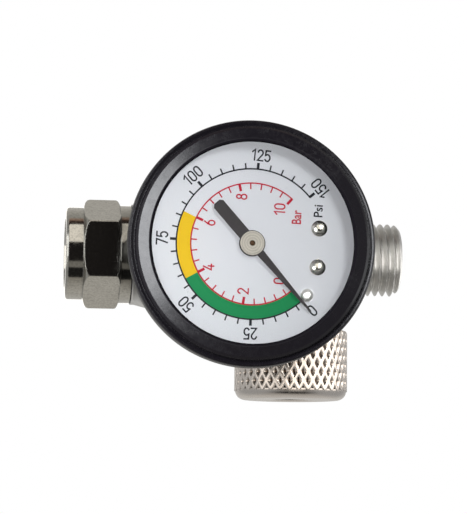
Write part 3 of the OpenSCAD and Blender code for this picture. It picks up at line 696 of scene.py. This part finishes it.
def word_mesh(parts, text, centre, height, width):
    """Adds an upright word in the plain built-in font, slightly bold, fitted into a height and width."""
    curve = bpy.data.curves.new("print_outline", "FONT")
    curve.body = text
    curve.align_x = "CENTER"
    curve.offset = 0.014
    curve.resolution_u = 6
    holder = bpy.data.objects.new("print_outline", curve)
    scene.collection.objects.link(holder)
    bpy.context.view_layer.update()
    mesh = bpy.data.meshes.new_from_object(holder.evaluated_get(bpy.context.evaluated_depsgraph_get()))
    xs = [v.co.x for v in mesh.vertices]
    ys = [v.co.y for v in mesh.vertices]
    mid_x, mid_y = (min(xs) + max(xs)) / 2, (min(ys) + max(ys)) / 2
    scale_x, scale_y = width / (max(xs) - min(xs)), height / (max(ys) - min(ys))
    points, faces = parts
    base = len(points)
    for v in mesh.vertices:
        place = Vector(centre) + Vector(((v.co.x - mid_x) * scale_x, (v.co.y - mid_y) * scale_y))
        points.append((place.x, place.y, DIAL_FRONT + NUMBER_TOP))
    faces += [tuple(base + i for i in face.vertices) for face in mesh.polygons]
    bpy.data.objects.remove(holder)
    bpy.data.curves.remove(curve)
    bpy.data.meshes.remove(mesh)


def arc(x, y, rx, ry, start, end, steps=14):
    """Points along part of an ellipse, in degrees."""
    turns = [math.radians(start + (end - start) * i / steps) for i in range(steps + 1)]
    return [(x + rx * math.cos(a), y + ry * math.sin(a)) for a in turns]


# Each digit's half width and its strokes, in a box one unit high, with x from its middle
DIGITS = {
    "0": (0.27, [arc(0, 0.70, 0.24, 0.30, 0, 180) + arc(0, 0.30, 0.24, 0.30, 180, 360) + [(0.24, 0.70)]]),
    "1": (0.19, [[(-0.14, 0.78), (0.10, 1.0), (0.10, 0.0)]]),
    "2": (0.26, [arc(0, 0.73, 0.23, 0.27, 165, -25) + [(-0.23, 0.0), (0.25, 0.0)]]),
    "4": (0.28, [[(0.04, 1.0), (-0.26, 0.24), (0.27, 0.24)], [(0.10, 0.52), (0.10, 0.0)]]),
    "5": (0.26, [[(0.22, 1.0), (-0.18, 1.0), (-0.21, 0.55)] + arc(-0.01, 0.32, 0.24, 0.32, 125, -145)]),
    "6": (0.26, [arc(0, 0.31, 0.23, 0.31, 90, 450), [(0.12, 1.0), (-0.14, 0.62), (-0.23, 0.34)]]),
    "7": (0.26, [[(-0.24, 1.0), (0.24, 1.0), (-0.06, 0.0)]]),
    "8": (0.26, [arc(0, 0.77, 0.19, 0.23, -90, 270), arc(0, 0.27, 0.24, 0.27, 90, 450)]),
}
DIGIT_GAP = 0.17


def ribbon_mesh(parts, path, line, level):
    """Adds a flat ribbon with mitred corners along a path, with its open ends half a line longer."""
    points, faces = parts
    base = len(points)
    last = len(path) - 1
    closed = (path[0] - path[last]).length < 1e-6
    if not closed:
        path[0] += (path[0] - path[1]).normalized() * line / 2
        path[last] += (path[last] - path[last - 1]).normalized() * line / 2
    steps = [(b - a).normalized() for a, b in zip(path, path[1:])]
    for k, place in enumerate(path):
        before = steps[k - 1] if k > 0 or closed else steps[0]
        after = steps[k % last] if k < last or closed else before
        side = Vector((-before.y - after.y, before.x + after.x)).normalized()
        reach = min(1.9, 1 / max(0.3, side.dot(Vector((-before.y, before.x)))))
        for way in (-1, 1):
            corner = place + side * way * reach * line / 2
            points.append((corner.x, corner.y, level))
    for k in range(last):
        a = base + 2 * k
        faces.append((a, a + 1, a + 3, a + 2))


def number_mesh(parts, text, centre, up, height, line):
    """Adds a number drawn as ribbons, its head towards up. Crossing strokes lie one above the other."""
    up = Vector(up).normalized()
    right = Vector((up.y, -up.x))
    tall = height - line
    halves = [DIGITS[digit][0] for digit in text]
    x = -sum(halves) - DIGIT_GAP * (len(text) - 1) / 2
    for digit, half in zip(text, halves):
        x += half
        for count, stroke in enumerate(DIGITS[digit][1]):
            path = [Vector(centre) + right * (x + px) * tall + up * (py - 0.5) * tall for px, py in stroke]
            ribbon_mesh(parts, path, line, DIAL_FRONT + NUMBER_TOP + 0.002 * count)
        x += half + DIGIT_GAP


def build_print():
    """The two scales with their bands, numbers and words, each colour a thin piece on the dial."""
    sheets = {name: ([], []) for name in PRINTS}
    psi_end = ZERO_ANGLE + PSI_STEP * (PSI_TICKS - 1)
    sector_mesh(sheets["scale_black"], PSI_ARC, SCALE_START, psi_end + 0.6, BLACK_TOP)
    for count in range(PSI_TICKS):
        outer, width = (13.98, 0.26) if count % TICKS_A_NUMBER else (14.05, 0.46)
        angle = max(SCALE_START, ZERO_ANGLE + PSI_STEP * count)
        tick_mesh(sheets["scale_black"], 12.9, outer, angle, width, BLACK_TOP)
    bar_end = ZERO_ANGLE + BAR_STEP * (BAR_TICKS - 1)
    sector_mesh(sheets["scale_red"], BAR_ARC, SCALE_START, bar_end + 0.8, RED_TOP)
    for count in range(BAR_TICKS):
        inner, width = (9.42, 0.23) if count % TICKS_A_NUMBER else (9.22, 0.46)
        angle = max(SCALE_START, ZERO_ANGLE + BAR_STEP * count)
        tick_mesh(sheets["scale_red"], inner, 10.48, angle, width, RED_TOP)
    green_end, yellow_end = ZERO_ANGLE + BAR_STEP * 10, ZERO_ANGLE + BAR_STEP * 15
    sector_mesh(sheets["band_green"], BAND, SCALE_START, green_end, BAND_TOP)
    sector_mesh(sheets["band_yellow"], BAND, green_end, yellow_end, BAND_TOP)
    for count, text in enumerate(("0", "25", "50", "75", "100", "125", "150")):
        angle = ZERO_ANGLE + PSI_STEP * TICKS_A_NUMBER * count + NUMBER_SHIFT.get(text, 0)
        place = Vector(dial_point(PSI_NUMBER_R, angle))
        # The numbers' heads point outwards, except the last one's
        number_mesh(sheets["numbers_black"], text, place, -place if text == "150" else place, 2.1, 0.27)
    for text, place in BAR_NUMBERS.items():
        number_mesh(sheets["numbers_red"], text, place, (0, 1), 2.0, 0.25)
    word_mesh(sheets["numbers_black"], "Psi", PSI_WORD, 1.55, 2.1)
    word_mesh(sheets["numbers_red"], "Bar", BAR_WORD, 1.65, 2.4)
    for name, (points, faces) in sheets.items():
        add_piece(name, points, faces, DIAL, PRINTS[name], "body")


# ------------------------------------------------------------------ studio
def direction(az, el):
    """A direction from the object: az to the right of the gauge's front, el up, in degrees."""
    a, e = math.radians(az), math.radians(el)
    return Vector((math.sin(a) * math.cos(e), -math.cos(a) * math.cos(e), math.sin(e)))


def camera():
    """The camera looks at a point near the gauge's middle from slightly left and below, a little rolled."""
    az, el, roll, distance = -6.50, -6.74, math.radians(0.53), 0.32635
    target = Vector((GAUGE_X - 0.00346, FACE_Y, -0.00270))
    back = direction(az, el)
    right = Vector((math.cos(math.radians(az)), math.sin(math.radians(az)), 0))
    up = back.cross(right)
    data = bpy.data.cameras.new("camera")
    data.sensor_width = 36
    data.lens = 135.245
    data.clip_start = 0.01
    data.clip_end = 20
    obj = bpy.data.objects.new("camera", data)
    rolled = Matrix.Rotation(roll, 4, back) @ Matrix((right, up, back)).transposed().to_4x4()
    obj.matrix_world = Matrix.Translation(target + back * distance) @ rolled
    scene.collection.objects.link(obj)
    scene.camera = obj


def softbox(name, az, el, width, height, strength, colour, only, tilt=0.0, distance=0.8, shadow=True):
    """A soft area light that faces the object and lights only the pieces in only."""
    data = bpy.data.lights.new(name, "AREA")
    data.shape = "RECTANGLE"
    data.size, data.size_y = width, height
    data.energy = strength * width * height * math.pi
    data.color = colour
    data.use_shadow = shadow
    obj = bpy.data.objects.new(name, data)
    aim = Vector((GAUGE_X, -0.012, -0.002))
    towards = direction(az, el)
    facing = towards.to_track_quat("Z", "Y").to_matrix().to_4x4()
    tilted = Matrix.Rotation(math.radians(tilt), 4, "Z")
    obj.matrix_world = Matrix.Translation(aim + towards * distance) @ facing @ tilted
    scene.collection.objects.link(obj)
    obj.visible_camera = False
    group = bpy.data.collections.new(name + "_lit")
    for piece in only:
        group.objects.link(piece)
    obj.light_linking.receiver_collection = group


def world():
    """A dim studio, drawn as bands by height for what bright metal mirrors. The camera sees plain white."""
    g = Graph("studio", bpy.data.worlds, "ShaderNodeOutputWorld", "Generated")
    # Degrees up from the front, over the top to 180 at the back, and below the front down to -180
    bands = [
        (-180, (0.66, 0.65, 0.63)), (-113, (0.66, 0.64, 0.61)), (-90, (0.52, 0.50, 0.47)),
        (-69, (0.36, 0.34, 0.31)), (-67, (0.02, 0.02, 0.02)), (-42, (0.02, 0.02, 0.02)),
        (-40, (0.30, 0.29, 0.27)), (-27, (0.30, 0.29, 0.27)), (-24, (0.02, 0.018, 0.018)),
        (28, (0.02, 0.018, 0.018)), (70, (0.03, 0.03, 0.03)), (82, (0.08, 0.05, 0.04)),
        (84, (0.42, 0.28, 0.22)), (90, (0.45, 0.34, 0.28)), (93, (0.46, 0.45, 0.43)),
        (127, (0.66, 0.64, 0.61)), (180, (0.66, 0.65, 0.63)),
    ]
    angle = g.math("ARCTAN2", g.coordinate("Z"), g.math("MULTIPLY", g.coordinate("Y"), -1.0))
    share = g.math("MULTIPLY_ADD", angle, 1 / (2 * math.pi), 0.5)
    tone = g.ramp(share, [(0.5 + degrees / 360, colour) for degrees, colour in bands])
    # To the sides the bands give way to a plain grey
    across = g.math("ABSOLUTE", g.coordinate("X"))
    side = g.output("ShaderNodeMapRange", Value=across, From_Min=0.35, From_Max=0.75)
    studio = g.output("ShaderNodeBackground", Color=g.mix(side, tone, (0.42, 0.42, 0.42)))
    plain = g.output("ShaderNodeBackground", Color=(1, 1, 1))
    seen = g.node("ShaderNodeLightPath").outputs["Is Camera Ray"]
    scene.world = g.finish(g.mix_shaders(seen, studio, plain))


def floor():
    """A plain pale floor well below the object. It shows from above only and isn't mirrored."""
    size, level = 2.5, knob_lo.z - 0.065
    signs = ((-1, -1), (1, -1), (1, 1), (-1, 1))
    mesh = bpy.data.meshes.new("floor")
    mesh.from_pydata([(GAUGE_X + x * size, y * size, level) for x, y in signs], [], [(0, 1, 2, 3)])
    g = Graph("floor_pale")
    tone = g.mix(g.noise(3, 3, 0.5), (0.93, 0.93, 0.93), (0.96, 0.96, 0.96))
    pale = g.output("ShaderNodeEmission", Color=tone)
    below = g.node("ShaderNodeNewGeometry").outputs["Backfacing"]
    mesh.materials.append(g.finish(g.mix_shaders(below, pale, g.output("ShaderNodeBsdfTransparent"))))
    obj = bpy.data.objects.new("floor", mesh)
    scene.collection.objects.link(obj)
    obj.visible_glossy = False
    obj.visible_diffuse = False
    obj.visible_shadow = False


knob = build_knob()
build_body()
thread = build_thread()
build_tube()
build_print()
camera()
world()
floor()

# ------------------------------------------------------------------ lights, each for its own pieces
pieces = [obj for obj in scene.objects if obj.type == "MESH" and obj.name != "floor"]
bezel = nodes["bezel_ring"]
nut = nodes["swivel_nut"]
stop = nodes["pointer_stop_pin"]
pins = [nodes["dial_rivets"], stop]
dial_names = ("dial_plate", "pointer", "pointer_hub", "pinion_arbor", *PRINTS)
dial_set = pins + [obj for obj in pieces if obj.name in dial_names]
elsewhere = ("bezel_ring", "lens", "lens_gasket", *dial_names)
rest = [obj for obj in pieces if obj.name not in elsewhere]

BLUISH = (0.95, 0.97, 1.0)
CREAM = (1.0, 0.98, 0.96)
PINKISH = (1.0, 0.98, 0.97)
COPPERY = (1.0, 0.92, 0.84)
softbox("key_right", 38, 34, 0.5, 0.5, 2.4, (1.0, 0.99, 0.97), rest)
softbox("fill_left", -62, 12, 0.45, 0.6, 1.6, (0.96, 0.98, 1.0), [obj for obj in rest if obj is not knob])
softbox("dial_side", 55, 18, 0.8, 0.8, 0.38, (0.97, 0.985, 1.0), dial_set)
softbox("dial_front", 24, 22, 0.25, 0.25, 11, (1.0, 1.0, 1.0), dial_set)
softbox("dial_near", -26, -6, 0.03, 0.04, 8.5, (0.98, 0.99, 1.0), dial_set, distance=0.075, shadow=False)
softbox("pins_front", 18, 28, 1.3, 0.8, 1.1, (1.0, 0.93, 0.82), pins)
softbox("stop_front", -8, -4, 1.4, 1.4, 2.9, (1.0, 0.97, 0.92), [stop])
softbox("bezel_left", -31, 10, 0.56, 0.66, 14.5, BLUISH, [bezel], tilt=20)
softbox("bezel_lip", 78, -4, 0.3, 0.5, 1.5, BLUISH, [bezel])
softbox("band_top", 3, 47, 0.9, 0.72, 1.3, (1.0, 0.95, 0.88), [nut])
softbox("nut_left", -98, 6, 0.3, 0.5, 2.0, CREAM, [nut])
softbox("nut_back", -171, 8, 0.4, 0.5, 1.0, CREAM, [nut])
softbox("knob_right", 52, 8, 1.8, 0.5, 1.3, COPPERY, [knob])
softbox("knob_left", -36, 8, 1.25, 0.5, 0.8, COPPERY, [knob])
softbox("knob_front", 3, -2, 0.4, 0.7, 0.8, COPPERY, [knob])
softbox("thread_front", 10, -9, 1.2, 0.95, 2.9, PINKISH, [thread])
softbox("thread_side", 112, -15, 0.9, 0.8, 1.4, PINKISH, [thread])
